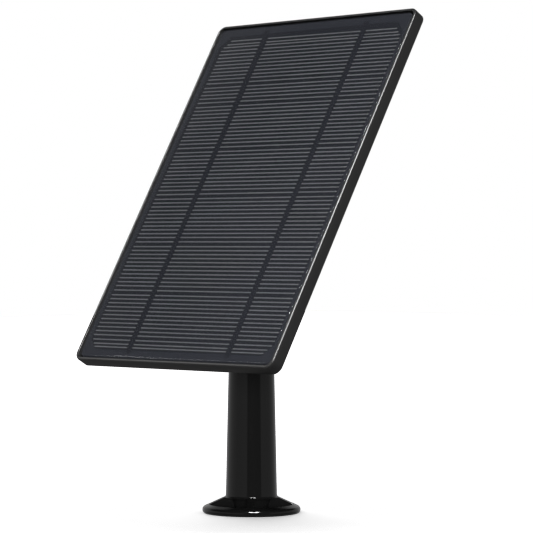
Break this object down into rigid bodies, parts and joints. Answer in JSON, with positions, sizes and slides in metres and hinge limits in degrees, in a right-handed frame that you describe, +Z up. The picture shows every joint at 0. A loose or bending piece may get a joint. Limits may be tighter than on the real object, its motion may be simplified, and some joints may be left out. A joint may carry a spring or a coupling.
{
  "type": "solar charging panel on adjustable post",
  "caption": "Framed solar charging panel that tilts, pans and turns on a tapered screw-down post, with a small controller box behind it.",
  "frame": {"origin": "middle of the flange's underside, on the post's axis", "axes": "+Z up along the post, panel faces -Y and leans back, +X to the panel's right-hand side as seen from behind the viewer facing +Y"},
  "size_m": [0.1312, 0.0984, 0.2299],
  "materials": {
    "gloss_plastic": "polished black moulded plastic",
    "satin_plastic": "satin black moulded plastic",
    "acetal": "plain moulded",
    "nylon": "natural nylon",
    "black_rubber": "matte",
    "foam_tape": "closed-cell foam",
    "zinc_steel": "zinc plated",
    "brass": "turned",
    "cover_glass": "clear, low gloss",
    "solar_cell": "dark blue-black cell with fine silver-grey lines",
    "contact_ribbon": "dark coated ribbon",
    "back_sheet": "dark laminate sheet",
    "circuit_board": "solder mask",
    "ferrite": "ferrite block",
    "tantalum": "moulded epoxy",
    "component_epoxy": "moulded epoxy",
    "red_insulation": "wire insulation",
    "black_insulation": "wire insulation"
  },
  "bodies": {
    "base": {"mount_post": "gloss_plastic", "neck_insert": "acetal", "pan_nut": "zinc_steel", "pan_washer": "nylon"},
    "head": {"pan_head": "gloss_plastic", "pan_bolt": "zinc_steel", "pivot_bolt": "zinc_steel", "knob_washer": "zinc_steel"},
    "knob": {"tilt_knob": "satin_plastic", "knob_nut": "brass"},
    "knuckle": {"tilt_knuckle": "gloss_plastic", "knuckle_washer_left": "nylon", "knuckle_washer_right": "nylon", "mount_stud": "zinc_steel"},
    "ring": {"lock_ring": "satin_plastic"},
    "panel": {"panel_housing": "satin_plastic", "solar_glass": "cover_glass", "solar_cell": "solar_cell", "contact_ribbon_left": "contact_ribbon", "contact_ribbon_right": "contact_ribbon", "back_sheet": "back_sheet", "laminate_seal": "foam_tape", "rear_box": "satin_plastic", "box_seal": "black_rubber", "box_screw_1": "zinc_steel", "box_screw_2": "zinc_steel", "box_screw_3": "zinc_steel", "box_screw_4": "zinc_steel", "mount_insert": "brass", "controller_board": "circuit_board", "board_screw_1": "zinc_steel", "board_screw_2": "zinc_steel", "charge_inductor": "ferrite", "storage_capacitor": "tantalum", "blocking_diode": "component_epoxy", "regulator_chip": "component_epoxy", "output_connector": "nylon", "lead_positive": "red_insulation", "lead_negative": "black_insulation", "gland_body": "satin_plastic", "gland_nut": "satin_plastic", "gland_seal": "black_rubber", "gland_cap": "satin_plastic"}
  },
  "joints": [
    {"name": "pan", "type": "hinge", "parent": "base", "child": "head", "pos_m": [0, 0, 0.08], "axis": [0, 0, 1], "continuous": true},
    {"name": "tilt", "type": "hinge", "parent": "head", "child": "knuckle", "pos_m": [0, 0, 0.0949], "axis": [-1, 0, 0], "range_deg": [-30, 60]},
    {"name": "panel_turn", "type": "hinge", "parent": "knuckle", "child": "panel", "pos_m": [0, 0, 0.0949], "axis": [0, -0.8652, 0.5015], "range_deg": [-90, 90]},
    {"name": "lock_ring_turn", "type": "hinge", "parent": "knuckle", "child": "ring", "pos_m": [0, 0, 0.0949], "axis": [0, -0.8652, 0.5015], "continuous": true},
    {"name": "knob_turn", "type": "hinge", "parent": "head", "child": "knob", "pos_m": [0, 0, 0.0949], "axis": [1, 0, 0], "continuous": true}
  ]
}
